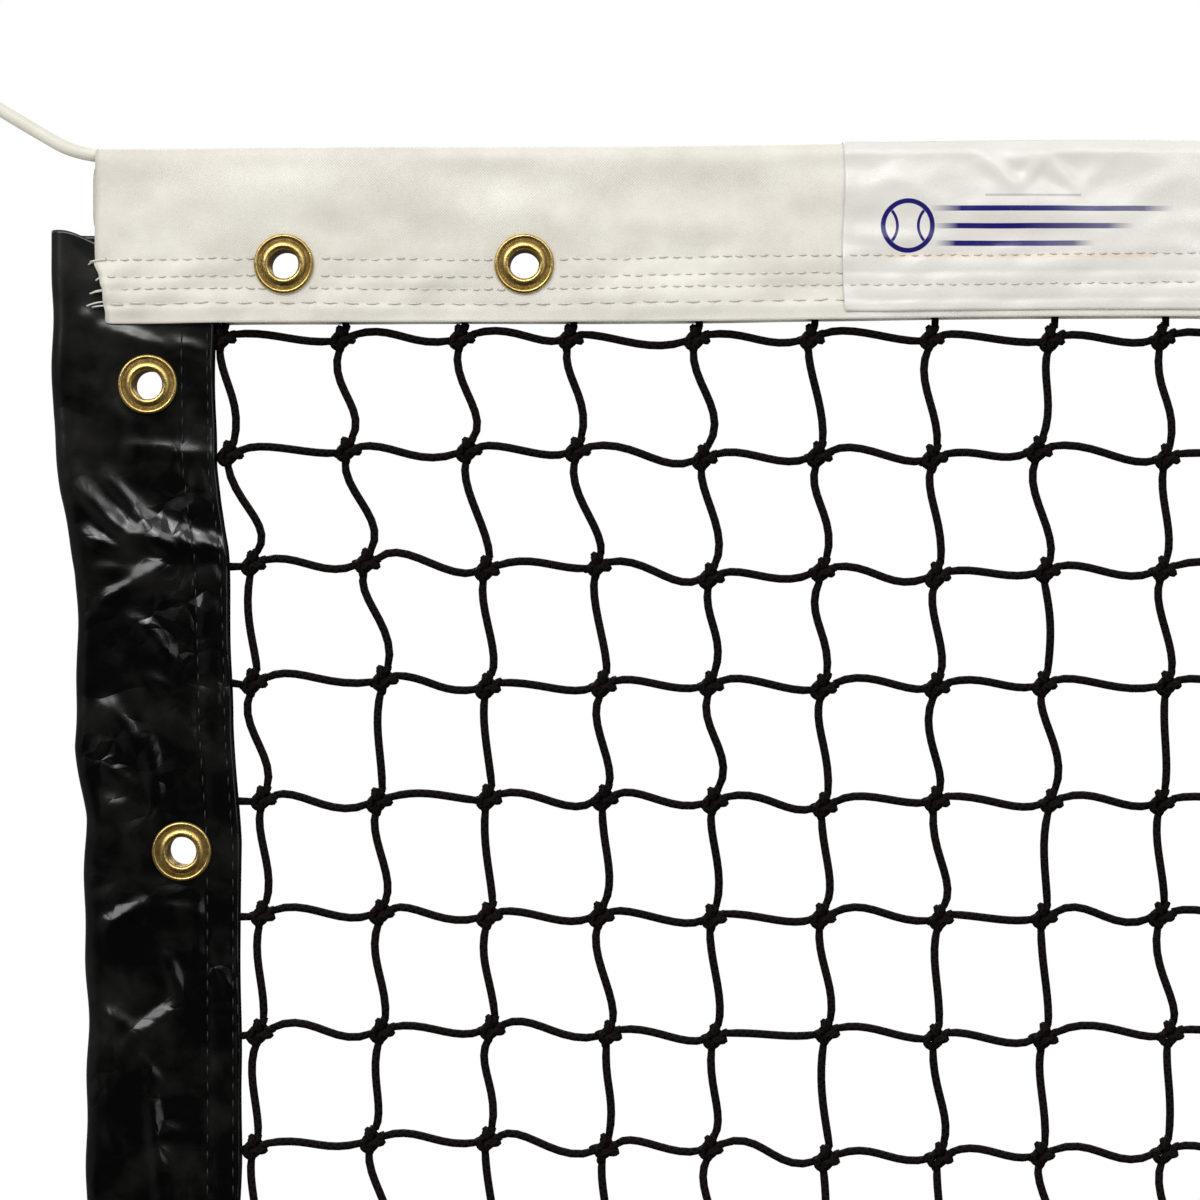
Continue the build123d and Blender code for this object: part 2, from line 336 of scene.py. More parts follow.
metal = ferrule_metal()
for side, name in ((-1, "left"), (1, "right")):
    before, end = (Vector((BAND_END + out * MM, 0, up * MM)) for out, up in TAIL_POINTS[-2:])
    on = (end - before).normalized()
    over = Vector((-on.z, 0, on.x))
    loop_route = [end + on * a * MM + over * b * MM for a, b in LOOP_POINTS]
    loop_route = [(side * point.x, point.y, point.z) for point in loop_route]
    loop = round_curve(f"end_loop_{name}", loop_route, CABLE_RADIUS, coating)
    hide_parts(f"cable_eye_{name}")

    middle = end - over * SLEEVE_MIDDLE * MM
    rings = []
    for along, share in SLEEVE_RINGS:
        for corner in range(SLEEVE_SIDES):
            angle = 2 * math.pi * corner / SLEEVE_SIDES
            wide = (SLEEVE_HALF_WIDTH - SLEEVE_HALF_THICK) * math.copysign(1, math.cos(angle))
            wide *= corner % 6 != 3
            b = wide + SLEEVE_HALF_THICK * share * math.cos(angle)
            y = SLEEVE_HALF_THICK * share * math.sin(angle)
            point = middle + on * along * MM + over * b * MM
            rings.append((side * point.x, y * MM, point.z))
    last = (len(SLEEVE_RINGS) - 1) * SLEEVE_SIDES
    walls = []
    for ring in range(0, last, SLEEVE_SIDES):
        for corner in range(SLEEVE_SIDES):
            beside = (corner + 1) % SLEEVE_SIDES
            far = ring + SLEEVE_SIDES
            walls.append((ring + corner, ring + beside, far + beside, far + corner))
    caps = [tuple(range(SLEEVE_SIDES - 1, -1, -1)), tuple(range(last, last + SLEEVE_SIDES))]
    sleeve = mesh_piece(f"sleeve_{name}", rings, walls + caps, metal)
    if side > 0:
        sleeve.data.flip_normals()
    smooth = sleeve.modifiers.new("smooth", "SUBSURF")
    smooth.levels = smooth.render_levels = 2
    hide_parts(f"ferrule_{name}")

# ---- Netting -----------------------------------------------------------------------------------
# Braided black twine, 3 mm thick, tied at every crossing in a sheet bend that lies on the slant:
# the bight opens to the upper right, and the twine from the lower left wraps round its legs.
# Away from the near corner the knots are plainer: two U-shaped turns that cross.
COLUMNS, ROWS = 286, 22
MESH_SIZE = 44.456 * MM
ROW_PITCH = 43.6 * MM
FIRST_COLUMN = LEFT + 64.8 * MM
FIRST_ROW = TOP - 71.6 * MM
TWINE_RADIUS = 1.5 * MM
LEAN = 14.5 * MM  # how far the tape's steps push the lower left knots inwards
CLOSE_COLUMNS, CLOSE_ROWS = 10, 10  # knots modelled turn by turn
PANEL_COLUMNS = 46
KNOT_REACH, KNOT_SKEW = 4.0 * MM, 1.2 * MM  # where the four twines leave a knot's middle
HIDDEN_END = 20 * MM  # how far the outer twines run on inside the tapes and the headband
# A knot's twines, in mm: along the slant, across it, and in depth.
BIGHT = (
    (4.1, 2.3, 0.0), (2.0, 1.4, -0.6), (-0.8, 1.7, -1.3), (-3.0, 1.3, -1.0), (-3.6, 0.0, -0.6),
    (-3.0, -1.3, -1.0), (-0.8, -1.7, -1.3), (2.0, -1.4, -0.6), (4.1, -2.3, 0.0),
)
WRAP = (
    (-4.1, 2.3, 0.3), (-2.4, 1.4, 1.3), (-0.3, 0.6, -0.6), (0.9, 2.0, -2.6), (1.6, 3.0, -0.5),
    (1.5, 1.5, 1.6), (1.5, -1.5, 1.6), (1.6, -3.0, -0.5), (0.8, -2.0, -2.7), (-0.9, -0.7, -3.0),
    (-2.6, -1.5, -1.8), (-4.1, -2.3, 0.0),
)
PLAIN_BIGHT = ((4.0, 2.2, 0.0), (-2.3, 1.1, -0.8), (-2.3, -1.1, -0.8), (4.0, -2.2, 0.0))
PLAIN_WRAP = ((-4.0, 2.2, 0.3), (1.5, 1.3, -1.9), (1.5, -1.3, -1.9), (-4.0, -2.2, 0.0))


def eased(share):
    """0 below 0, 1 above 1 and smooth between."""
    share = np.clip(share, 0.0, 1.0)
    return share * share * (3 - 2 * share)


def strand_shapes(paths, radius, sides):
    """Closed round strands along paths of shape (strands, points, 3).

    Gives their points, their faces and a UV for each corner of a wall. U runs along the strand in
    metres and V once round it.
    """
    count, points, _ = paths.shape
    along = np.gradient(paths, axis=1)
    along /= np.linalg.norm(along, axis=2, keepdims=True)
    across = np.cross(along, (0.0, 1.0, 0.0))
    across /= np.linalg.norm(across, axis=2, keepdims=True) + 1e-9
    over = np.cross(across, along)
    turn = 2 * np.pi * np.arange(sides) / sides
    ring = np.cos(turn)[:, None] * across[:, :, None] + np.sin(turn)[:, None] * over[:, :, None]
    # A strand of few sides is a little thicker, so that its mean width is a round one's.
    thick = np.full(points, radius * np.pi / (sides * np.sin(np.pi / sides)))
    thick[[0, -1]] *= 0.88
    shell = paths[:, :, None] + thick[:, None, None] * ring
    index = np.arange(count * points * sides).reshape(count, points, sides)
    here, there = index[:, :-1], index[:, 1:]
    walls = np.stack([here, there, np.roll(there, -1, 2), np.roll(here, -1, 2)], -1).reshape(-1, 4)
    ends = np.concatenate([index[:, 0], index[:, -1, ::-1]]).reshape(-1, sides)
    step = np.linalg.norm(np.diff(paths, axis=1), axis=2)
    run = np.concatenate([np.zeros((count, 1)), np.cumsum(step, axis=1)], axis=1)
    side = np.arange(sides) / sides
    u0, u1 = (np.repeat(u[:, :, None], sides, 2) for u in (run[:, :-1], run[:, 1:]))
    v0 = np.broadcast_to(side, u0.shape)
    v1 = v0 + 1 / sides
    corners = ((u0, v0), (u1, v0), (u1, v1), (u0, v1))
    wall_uv = np.stack([np.stack(pair, -1) for pair in corners], -2).reshape(-1, 2)
    return shell.reshape(-1, 3), [walls, ends], wall_uv


def smooth_path(points, steps):
    """A Catmull-Rom line through the points, with that many steps between two of them."""
    points = np.array(points, float)
    padded = np.concatenate([[2 * points[0] - points[1]], points, [2 * points[-1] - points[-2]]])
    line = []
    for a, b, c, d in zip(padded, padded[1:], padded[2:], padded[3:]):
        square, cube = 2 * a - 5 * b + 4 * c - d, 3 * b - a - 3 * c + d
        for t in np.arange(steps) / steps:
            line.append(0.5 * (2 * b + (c - a) * t + square * t**2 + cube * t**3))
    line.append(points[-1])
    return np.array(line)


def knot_lines(slanted, steps):
    """A knot's twine in x, y, z metres from points given along the slant, across it and in depth."""
    line = smooth_path(slanted, steps) if steps > 1 else np.array(slanted, float)
    a, b, y = line.T
    return np.stack([(a - b) / math.sqrt(2), y, (a + b) / math.sqrt(2)], 1) * MM


def placed(line, places, rng):
    """The line once for each place, each a little turned and resized in the net's plane."""
    turn = rng.normal(0.0, 0.07, len(places))
    size = rng.normal(1.13, 0.06, len(places))
    x = np.outer(np.cos(turn) * size, line[:, 0]) - np.outer(np.sin(turn) * size, line[:, 2])
    z = np.outer(np.sin(turn) * size, line[:, 0]) + np.outer(np.cos(turn) * size, line[:, 2])
    return places[:, None] + np.stack([x, np.broadcast_to(line[:, 1], x.shape), z], 2)


def slack_paths(starts, ends, lean_out, lean_in, rng, steps):
    """Loose twine between knots: it leaves along lean_out and arrives along lean_in, each varied."""
    length = np.linalg.norm(ends - starts, axis=1)[:, None]

    def leaning(direction, spread):
        turn = rng.normal(0.0, spread, len(starts))
        x, z = direction
        sway = rng.normal(0, 0.06, len(starts))
        turned_x, turned_z = x * np.cos(turn) - z * np.sin(turn), x * np.sin(turn) + z * np.cos(turn)
        return np.stack([turned_x, sway, turned_z], 1) * length * rng.uniform(0.26, 0.46, (len(starts), 1))

    first, last = starts + leaning(lean_out, 0.16), ends - leaning(lean_in, 0.18)
    t = np.linspace(0, 1, steps + 1)[None, :, None]
    s, a, b, e = (p[:, None] for p in (starts, first, last, ends))
    return s * (1 - t) ** 3 + 3 * a * t * (1 - t) ** 2 + 3 * b * t**2 * (1 - t) + e * t**3


def twine_material():
    """Black braid: two sets of strands that cross as they wind round the twine, with painted highlights on
    their crests.
    """
    material, shader, start, place = new_material("netting_twine", Specular_IOR_Level=0.10)
    strand = start.node("UVMap", {"uv_map": "strand"})
    parts = strand.node("SeparateXYZ", inputs={"Vector": strand})
    run = Signal(parts.tree, parts.socket.node.outputs[0])
    turn = Signal(parts.tree, parts.socket.node.outputs[1])
    pitch, twist = 2 * math.pi / 0.0030, 2 * math.pi * 3
    left = (run * pitch + turn * twist).math("SINE", run * pitch + turn * twist)
    right = left.math("SINE", run * pitch - turn * twist)
    braid = left.math("MAXIMUM", left, right)
    fuzz = start.stain(place, 1500.0, 4.0)
    fade = start.stain(place, 38.0, 2.0)
    # The braid's crests are painted lighter, a painted highlight; fuzz and fade are random tone.
    shade = (braid * 0.22 + fuzz * 0.5 + fade * 0.6 - 0.3).held()
    shade.blend((0.0006, 0.0004, 0.0004, 1), (0.0125, 0.0072, 0.0065, 1)).into(shader, "Base Color")
    (0.62 + fuzz * 0.25).into(shader, "Roughness")
    bump(start, shader, braid * 0.7 + fuzz * 0.4, 0.00035)
    return material


def netting_piece(name, groups, material):
    """One piece of netting from (paths, sides) groups."""
    points, faces, uvs, used = [], [], [], 0
    for paths, sides in groups:
        shell, (walls, ends), wall_uv = strand_shapes(paths, TWINE_RADIUS, sides)
        points.append(shell)
        faces += (walls + used).tolist() + (ends + used).tolist()
        uvs += [wall_uv, np.zeros((ends.size, 2))]
        used += len(shell)
    made = mesh_piece(name, np.concatenate(points).tolist(), faces, material)
    strand = made.data.uv_layers.new(name="strand")
    strand.data.foreach_set("uv", np.concatenate(uvs).astype(np.float32).ravel())
    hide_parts("mesh_rows", "mesh_columns")


twine = twine_material()
rng = np.random.default_rng(11)
column, row = np.meshgrid(np.arange(COLUMNS), np.arange(ROWS), indexing="ij")
from_end = np.minimum(column, COLUMNS - 1 - column)
inwards = np.where(column < COLUMNS / 2, 1, -1)
knots = np.zeros((COLUMNS, ROWS, 3))
lean = inwards * LEAN * eased(row / 3.0) * eased(1 - from_end / 8.0)
knots[..., 0] = FIRST_COLUMN + column * MESH_SIZE + lean
knots[..., 1] = 0.8 * MM * np.sin(column * 0.37 + row * 0.8)
knots[..., 2] = FIRST_ROW - row * ROW_PITCH + 1.3 * MM * np.sin(column * 0.55 + 1.3) * eased(row / 2)
knots += rng.normal(0.0, 1.0, knots.shape) * np.array([1.5, 0.4, 1.2]) * MM
knots[:, 0, 2] = FIRST_ROW + rng.normal(0.0, 0.5, COLUMNS) * MM

right_leg = np.array([KNOT_REACH, 0, KNOT_SKEW])
upper_leg = np.array([KNOT_SKEW, 0, KNOT_REACH])
left_ends = knots[0] - np.array([HIDDEN_END, 0, 0])
right_ends = knots[-1] + np.array([HIDDEN_END, 0, 0])
left_ends[:, 1] = right_ends[:, 1] = 0
upper_ends = knots[:, 0] + np.array([0.5 * MM, 0, HIDDEN_END])
lower_ends = knots[:, -1] - np.array([0, 0, 2.2 * HIDDEN_END])
upper_ends[:, 1] = lower_ends[:, 1] = 0


def twine_groups(columns, rows, steps, strand_sides, knot_steps, knot_sides, bight, wrap):
    """The knots of a block of columns and rows, with the twines to their right and below them."""
    block = knots[columns[0] : columns[1], rows[0] : rows[1]]
    outer = knots[columns[0] + 1 : columns[1] + 1, rows[0] : rows[1]]
    if columns[1] == COLUMNS:
        outer = np.concatenate([outer, (right_ends + right_leg)[None, rows[0] : rows[1]]])
    below = knots[columns[0] : columns[1], rows[0] + 1 : rows[1] + 1]
    if rows[1] == ROWS:
        below = np.concatenate([below, (lower_ends - upper_leg)[columns[0] : columns[1], None]], axis=1)
    block, outer, below = (part.reshape(-1, 3) for part in (block, outer, below))
    slanting, hanging = (0.96, 0.27), (-0.22, -0.97)
    groups = [
        (slack_paths(block + right_leg, outer - right_leg, slanting, slanting, rng, steps), strand_sides),
        (slack_paths(block - upper_leg, below + upper_leg, hanging, hanging, rng, steps), strand_sides),
        (placed(knot_lines(bight, knot_steps), block, rng), knot_sides),
        (placed(knot_lines(wrap, knot_steps), block, rng), knot_sides),
    ]
    if rows[0] == 0:
        tops = knots[columns[0] : columns[1], 0]
        ends = upper_ends[columns[0] : columns[1]]
        groups.append((slack_paths(tops + upper_leg, ends, (0, 1), (0, 1), rng, 2), strand_sides))
    if columns[0] == 0:
        firsts = knots[0, rows[0] : rows[1]]
        ends = left_ends[rows[0] : rows[1]]
        groups.append((slack_paths(firsts - right_leg, ends, (-1, -0.1), (-1, 0), rng, 3), strand_sides))
    return groups


# Steps and sides of the twines, then steps, sides and shapes of the knots.
close = (9, 8, 2, 6, BIGHT, WRAP)
plain = (5, 3, 1, 3, PLAIN_BIGHT, PLAIN_WRAP)
netting_piece("netting_corner", twine_groups((0, CLOSE_COLUMNS), (0, CLOSE_ROWS), *close), twine)
netting_piece("netting_under_corner", twine_groups((0, CLOSE_COLUMNS), (CLOSE_ROWS, ROWS), *plain), twine)
for number, first in enumerate(range(CLOSE_COLUMNS, COLUMNS, PANEL_COLUMNS)):
    last = min(first + PANEL_COLUMNS, COLUMNS)
    netting_piece(f"netting_{number + 1}", twine_groups((first, last), (0, ROWS), *plain), twine)


# ---- Side tapes --------------------------------------------------------------------------------
# A sleeve of black coated cloth at each end, folded at its outer edge and sewn to the netting by
# two rows near its inner edge. It steps inwards at one big crease, and its upper end is open.
TAPE_WALL, TAPE_HALF = 0.8, 4.0
TAPE_TOP, TAPE_LOW = 31.5, 1060.0  # drops below the headband's top
# The outlines: distance in from the net's end, and drop.
OUTER_EDGE = ((0.0, 31.5), (0.2, 66.0), (0.6, 100.0), (3.4, 130.0), (9.0, 160.0), (9.6, 195.0),
              (9.0, 226.0), (12.8, 252.0), (13.2, 300.0), (12.8, 1060.0))
INNER_EDGE = ((61.8, 31.5), (61.8, 84.0), (62.2, 120.0), (66.6, 152.0), (67.6, 182.0), (68.4, 218.0),
              (71.4, 262.0), (71.8, 1060.0))
SIDE_GROMMETS = [(37.3, 89.7)] + [(50.1, 89.7 + 175.2 * number) for number in range(1, 6)]
SEWN_INSETS = (50.0, 59.6)  # along the upper tape; they follow the inner edge down
FOOT_HEIGHT = 50.0  # of the bottom tape, whose folded strip takes in the side tapes' lower ends
FOOT_EDGE = (TOP - FOOT) / MM - 0.4 - FOOT_HEIGHT
HOLE_CUT, HOLE_RIM = 7.6, 7.8  # radii of the cloth's holes under the flanges: cells cut away, and rim
# Folds of the left front, in mm: inset and drop of both ends, height, half width above and, if it
# differs, half width below.
FOLDS = (
    (14, 63, 28, 71, 1.5, 2.2), (28, 71, 44, 77.5, 1.6, 2.0), (44, 77.5, 62, 84, 1.3, 1.8),
    (45, 73, 60, 78, 1.1, 1.6), (30, 113, 64, 117, 0.9, 1.7), (4, 122, 31, 149, 1.9, 3.6, 1.6),
    (21, 124, 38, 144, 1.6, 2.4, 1.2), (29, 146, 49, 152, 4.2, 5.2, 1.3),
    (5, 144, 31, 154, 1.9, 2.4, 1.0), (50, 147, 57, 154, 1.9, 2.6, 1.0),
    (58, 149, 68, 155, 2.0, 2.8, 1.1), (20, 172, 47, 157, 1.7, 2.6, 1.2),
    (14, 160, 36, 160, 1.0, 2.0, 1.0), (60, 157, 66, 168, 0.9, 1.4), (30, 177, 38, 181, 1.0, 1.8),
    (36, 180, 47, 194, 1.2, 1.7), (38, 200, 47, 205, 1.0, 1.6), (22, 209, 35, 226, 1.4, 2.4),
    (37, 216, 42, 252, 1.1, 1.9), (20, 231, 32, 241, 1.3, 1.8), (14, 250, 34, 246, 0.8, 2.2),
    (15, 296, 39, 284, 1.5, 2.2), (43, 286, 57, 288, 1.2, 1.4), (14, 322, 33, 333, 1.8, 2.6),
    (51, 322, 26, 340, 1.7, 2.4), (44, 304, 50, 318, 1.3, 1.8), (30, 338, 42, 352, 1.0, 1.8),
    (38, 353, 43, 398, 1.2, 2.0), (40, 372, 52, 371, 1.0, 1.5), (18, 364, 30, 380, 0.9, 2.4),
)


def vinyl_black():
    """Glossy black coating: greyer, hazier and smooth towards its top, finely crumpled lower down."""
    material, shader, start, place = new_material("black_vinyl", Specular_IOR_Level=0.5)
    soft = start.stain(place, 30.0, 1.5, 0.5, 0.5)
    fine = start.stain(place, 95.0, 2.5, 0.5, 0.35)
    grain = start.stain(place, 1300.0, 2.0)
    drop = TOP - start.node("SeparateXYZ", inputs={"Vector": place}, output=2)
    # Greyer in colour and rougher within 150 mm of the top.
    tone_near_end = (1.0 - drop / 0.15).held()
    dusty = ((fine - 0.45) * 1.2 + (soft - 0.5) * 1.6 + tone_near_end * 0.9).held()
    dusty.blend((0.0004, 0.0004, 0.0004, 1), (0.0130, 0.0125, 0.0095, 1)).into(shader, "Base Color")
    (0.17 + dusty * 0.12 + (grain - 0.5) * 0.05).into(shader, "Roughness")
    drift = start.node("TexNoise", inputs={"Vector": place, "Scale": 45.0, "Detail": 2.0}, output=1)
    warp = {0: drift, 1: (0.016, 0.016, 0.016), 2: place}
    bent = start.node("VectorMath", {"operation": "MULTIPLY_ADD"}, warp)
    facet = start.node("TexVoronoi", {"feature": "DISTANCE_TO_EDGE"}, {"Vector": bent, "Scale": 85.0})
    crumpled = ((start.stain(place, 24.0, 2.0) - 0.5) * 3.4 + 0.14).held() * ((drop - 0.10) / 0.03).held()
    bump(start, shader, abs(soft - 0.5) * 1.5 + facet * crumpled * 2.2 + grain * 0.012, 0.0011)
    return material


def between(table, drop):
    """A column's value at that drop, from an outline's (value, drop) points."""
    values, drops = zip(*table)
    return np.interp(drop, drops, values)


def fold_height(u, v, fold):
    """Height of one fold at u, v: sharp along its line, and fading past its ends."""
    u0, v0, u1, v1, height, width, *under = fold
    run_u, run_v = u1 - u0, v1 - v0
    if under:
        width = np.where(run_u * (v - v0) > run_v * (u - u0), under[0], width)
    share = np.clip(((u - u0) * run_u + (v - v0) * run_v) / (run_u**2 + run_v**2), 0.0, 1.0)
    away = np.hypot(u - u0 - share * run_u, v - v0 - share * run_v)
    swell = 0.4 + 0.6 * np.sin(np.pi * share) ** 0.8
    slope = np.maximum(0.0, 1 - away / (2.1 * width))
    return height * swell * (0.35 * np.exp(-((away / width) ** 1.35)) + 1.0 * slope)


def waves(u, v, size, rng, count=9):
    """Uneven swells about size across, from -1 to 1."""
    total = np.zeros(np.broadcast(u, v).shape)
    for _ in range(count):
        angle, phase = rng.uniform(0, 2 * np.pi, 2)
        pitch = 2 * np.pi / (size * rng.uniform(0.7, 1.6))
        total += np.sin(pitch * (u * np.cos(angle) + v * np.sin(angle)) + phase)
    return total / count**0.5 / 1.4


def clear_of(u, v, rings, near=12.5, far=22.0):
    """0 over each grommet's flange, where the cloth is pressed flat, and 1 away from them."""
    free = np.ones(np.broadcast(u, v).shape)
    for ring_u, ring_v in rings:
        free *= eased((np.hypot(u - ring_u, v - ring_v) - near) / (far - near))
    return free


def cloth(name, places, chart, rings, thickness, material, slot_name, *nodes):
    """A sheet from a grid of mid-wall points in mm, with round holes where the grommets pass.

    chart holds each point's place on the flat cloth, in mm, and rings the grommets on that chart.
    """
    index = np.arange(places[..., 0].size).reshape(places.shape[:2])
    quads = np.stack([index[:-1, :-1], index[1:, :-1], index[1:, 1:], index[:-1, 1:]], -1).reshape(-1, 4)
    flat, points = chart.reshape(-1, 2).copy(), places.reshape(-1, 3).copy()
    for ring in rings:
        middle = flat[quads].mean(axis=1)
        quads = quads[np.hypot(*(middle - ring).T) > HOLE_CUT]
        reach = np.hypot(*(flat - ring).T)
        rim = reach < HOLE_RIM
        step = (flat[rim] - ring) * (HOLE_RIM / reach[rim, None] - 1)
        flat[rim] += step
        points[rim] += np.stack([step[:, 0] * np.sign(points[rim, 0]) * -1, step[:, 0] * 0, -step[:, 1]], 1)
    used, quads = np.unique(quads, return_inverse=True)
    quads = quads.reshape(-1, 4)
    made = mesh_piece(name, (points[used] * MM).tolist(), quads.tolist(), material)
    laid = made.data.uv_layers.new(name="cloth")
    laid.data.foreach_set("uv", (flat[used][quads] * MM).astype(np.float32).ravel())
    smooth = made.modifiers.new("smooth", "SUBSURF")
    smooth.levels = smooth.render_levels = 1
    wall = made.modifiers.new("wall", "SOLIDIFY")
    wall.thickness = thickness * MM
    wall.offset = 0
    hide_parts(*nodes)
    return made


def tape_front(u, v, folds, rng, free):
    """How far a tape's wall stands out of its plane at inset u and drop v, in mm."""
    out = 0.55 * waves(u, v, 60.0, rng) + 0.16 * waves(u, v, 16.0, rng)
    for fold in folds:
        out = out + fold_height(u, v, fold)
    for sewn in SEWN_INSETS:
        line = sewn + between(INNER_EDGE, v) - INNER_EDGE[0][0]
        out = out - 0.75 * np.exp(-(((u - line) / 1.6) ** 2)) * eased((v - 84) / 10)
    under_band = eased((u - 15.0) / 3.0) * eased((69.0 - v) / 3.0)
    in_foot = eased((v - FOOT_EDGE + 16.0) / 12.0)
    limited = np.where(out > 0, 5.5 * np.tanh(out / 5.5), 1.6 * np.tanh(out / 1.6))
    return limited * free * (1 - under_band) * (1 - in_foot) - 0.5 * in_foot


def wall_height(wall, grid, inset, drop):
    """The height of a tape's wall at that inset and drop, read from its grid."""
    wall_out, wall_share = wall
    inner, outer = grid
    row = np.interp(drop, tape_drops, np.arange(tape_drops.size))
    first = np.minimum(row.astype(int), tape_drops.size - 2)
    share = (np.interp(drop, tape_drops, inner) - inset) / np.interp(drop, tape_drops, inner - outer)
    column = share * (wall_share.size - 1)
    left = np.clip(column.astype(int), 0, wall_share.size - 2)
    a, b = row - first, column - left
    upper = wall_out[first, left] * (1 - b) + wall_out[first, left + 1] * b
    lower = wall_out[first + 1, left] * (1 - b) + wall_out[first + 1, left + 1] * b
    return upper * (1 - a) + lower * a


def random_folds(rng, low, high, number):
    """Short creases scattered between two drops, in the form of FOLDS."""
    folds = []
    for _ in range(number):
        u, v = rng.uniform(14, 48), rng.uniform(low, high)
        angle, length = rng.uniform(-0.7, 2.2), rng.uniform(10, 30)
        end_u = np.clip(u + length * np.cos(angle), 10, 60)
        height, width = rng.uniform(1.1, 2.6), rng.uniform(1.6, 3.0)
        folds.append((u, v, end_u, v + length * np.sin(angle), height, width))
    return folds


black_vinyl = vinyl_black()
tape_drops = np.concatenate([np.arange(TAPE_TOP, 440, 2.4), np.linspace(440, TAPE_LOW, 86)])
back_share = np.linspace(0, 1, 10)
bend = np.radians(np.linspace(-90, 90, 5))[1:-1]
side_walls, side_grids = {}, {}
for side, name, seed in ((-1, "left", 5), (1, "right", 23)):
    rng = np.random.default_rng(seed)
    radius = TAPE_HALF - TAPE_WALL / 2
    waver = 0.7 * waves(tape_drops, 0 * tape_drops, 42.0, rng, 6) * eased((tape_drops - 34) / 30)
    outer = between(OUTER_EDGE, tape_drops) + waver + TAPE_WALL / 2 + radius
    inner = between(INNER_EDGE, tape_drops) + 0.5 * waves(tape_drops, 0 * tape_drops + 9, 50.0, rng, 6)
    if side < 0:
        front_folds = list(FOLDS) + random_folds(rng, 400, 1050, 62)
    else:
        front_folds = random_folds(rng, 60, 1050, 100)
    back_folds = random_folds(rng, 45, 1050, 90)
    front_share = np.linspace(0, 1, 28 if side < 0 else 18)
    walls = []
    for share, folds in ((front_share, front_folds), (back_share, back_folds)):
        wall_u = inner[:, None] + (outer - inner)[:, None] * share
        wall_v = np.broadcast_to(tape_drops[:, None], wall_u.shape)
        free = clear_of(wall_u, wall_v, SIDE_GROMMETS, 11.9, 15.5)
        off_edge = eased((wall_u - outer[:, None]) / 7.0)
        walls.append((wall_u, wall_v, tape_front(wall_u, wall_v, folds, rng, free) * off_edge))
    (front_u, front_v, front_out), (back_u, back_v, back_out) = walls
    at_top = 1 - eased((tape_drops[:, None] - TAPE_TOP) / 40.0)
    front_v = front_v + at_top * 7.0 * eased((front_u - outer[:, None]) / 22.0)
    back_v = back_v + at_top * 1.6 * np.sin(back_u / 9.0)
    fold_u = outer[:, None] - radius * np.cos(bend)
    fold_y = np.broadcast_to(radius * np.sin(bend), fold_u.shape)
    fold_v = np.broadcast_to(tape_drops[:, None], fold_u.shape)
    insets = np.concatenate([front_u, fold_u, back_u[:, ::-1]], axis=1)
    depth = np.concatenate([-radius - front_out, fold_y, (radius + back_out)[:, ::-1]], axis=1)
    drop = np.concatenate([front_v, fold_v, back_v[:, ::-1]], axis=1)
    places = np.stack([side * (-LEFT / MM - insets), depth, TOP / MM - drop], -1)
    if side > 0:
        places = places[:, ::-1]
        insets, drop = insets[:, ::-1], drop[:, ::-1]
    chart = np.stack([insets, drop], -1)
    tape = cloth(f"side_tape_cloth_{name}", places, chart, SIDE_GROMMETS, TAPE_WALL, black_vinyl,
                 "black_vinyl", f"side_tape_{name}")
    beside = "netting_corner" if side < 0 else "netting_6"
    side_grids[name] = (inner, outer)
    side_walls[name] = ((front_out, front_share), (back_out, back_share))


# ---- Bottom tape -------------------------------------------------------------------------------
# A strip of the same black cloth folded up round the netting's foot, with two sewn rows. It hangs
# a little uneven, because only its own weight straightens it.
FOOT_HALF = 4.6  # the strip's middle line from the fold's centre
FOOT_INSET = 12.8
FOOT_SEWN = (36.0, 44.0)  # heights over the net's foot
HALF_LENGTH = -LEFT / MM


def over_side_tape(u):
    """1 where the strip is closed over a side tape, which holds it straight, and 0 away from it."""
    return 1 - eased((np.minimum(u, foot_length - u) - 62.0) / 40.0)


def foot_drift(u):
    """How far the foot bows forward and up at u along the net, in mm."""
    forward = 1.3 * np.sin(u / 190.0) * np.sin(u / 71.0 + 1) + 0.8 * np.sin(u / 37.0)
    forward = forward * (1 - over_side_tape(u))
    upward = 1.1 * np.sin(u / 260.0 + 2) + 0.5 * np.sin(u / 63.0)
    return forward, upward


rng = np.random.default_rng(31)
end_steps = np.linspace(0, 120, 31)
foot_length = 2 * (HALF_LENGTH - FOOT_INSET)
between_ends = np.linspace(120, foot_length - 120, 125)[1:-1]
foot_u = np.concatenate([end_steps, between_ends, foot_length - end_steps[::-1]])
foot_walls = np.array([0, 2.5, 5, 6, 7.5, 11, 14, 18, 23, 29, 35, 40, FOOT_HEIGHT - FOOT_HALF])
walls = foot_walls.size
turn = np.radians(np.linspace(0, 180, 6))[1:-1]
u = foot_u[:, None]
forward, upward = foot_drift(u)
# Across the strip: up to down at the front, round the fold, and up again at the back.
wall_heights = FOOT_HEIGHT - foot_walls
heights = np.concatenate([wall_heights, FOOT_HALF * (1 - np.sin(turn)), wall_heights[::-1]])
depths = np.concatenate([np.full(walls, -FOOT_HALF), -FOOT_HALF * np.cos(turn), np.full(walls, FOOT_HALF)])
sewn = sum(np.exp(-(((heights - row) / 1.5) ** 2)) for row in FOOT_SEWN)
puffed = 1.2 * waves(u / 2.0, heights[None, :] + 0 * u, 46.0, rng) + 0.35 * np.sin(u / 4.3 + heights / 9.0)
held_flat = eased((heights - 30.0) / 4.0)
puffed = np.clip(puffed, -1.3 * (1 - over_side_tape(u)), 2.4) * (1 - held_flat)
outward = np.sign(depths) * (puffed * eased((heights - 2) / 8) - (1.0 - 0.6 * over_side_tape(u)) * sewn)
places = np.stack([
    u - foot_length / 2 + 0 * heights,
    depths + outward + forward,
    FOOT / MM + 0.4 + heights + upward * eased(heights / 20.0),
], -1)
fold_start, fold_end = foot_walls[-1], foot_walls[-1] + np.pi * FOOT_HALF
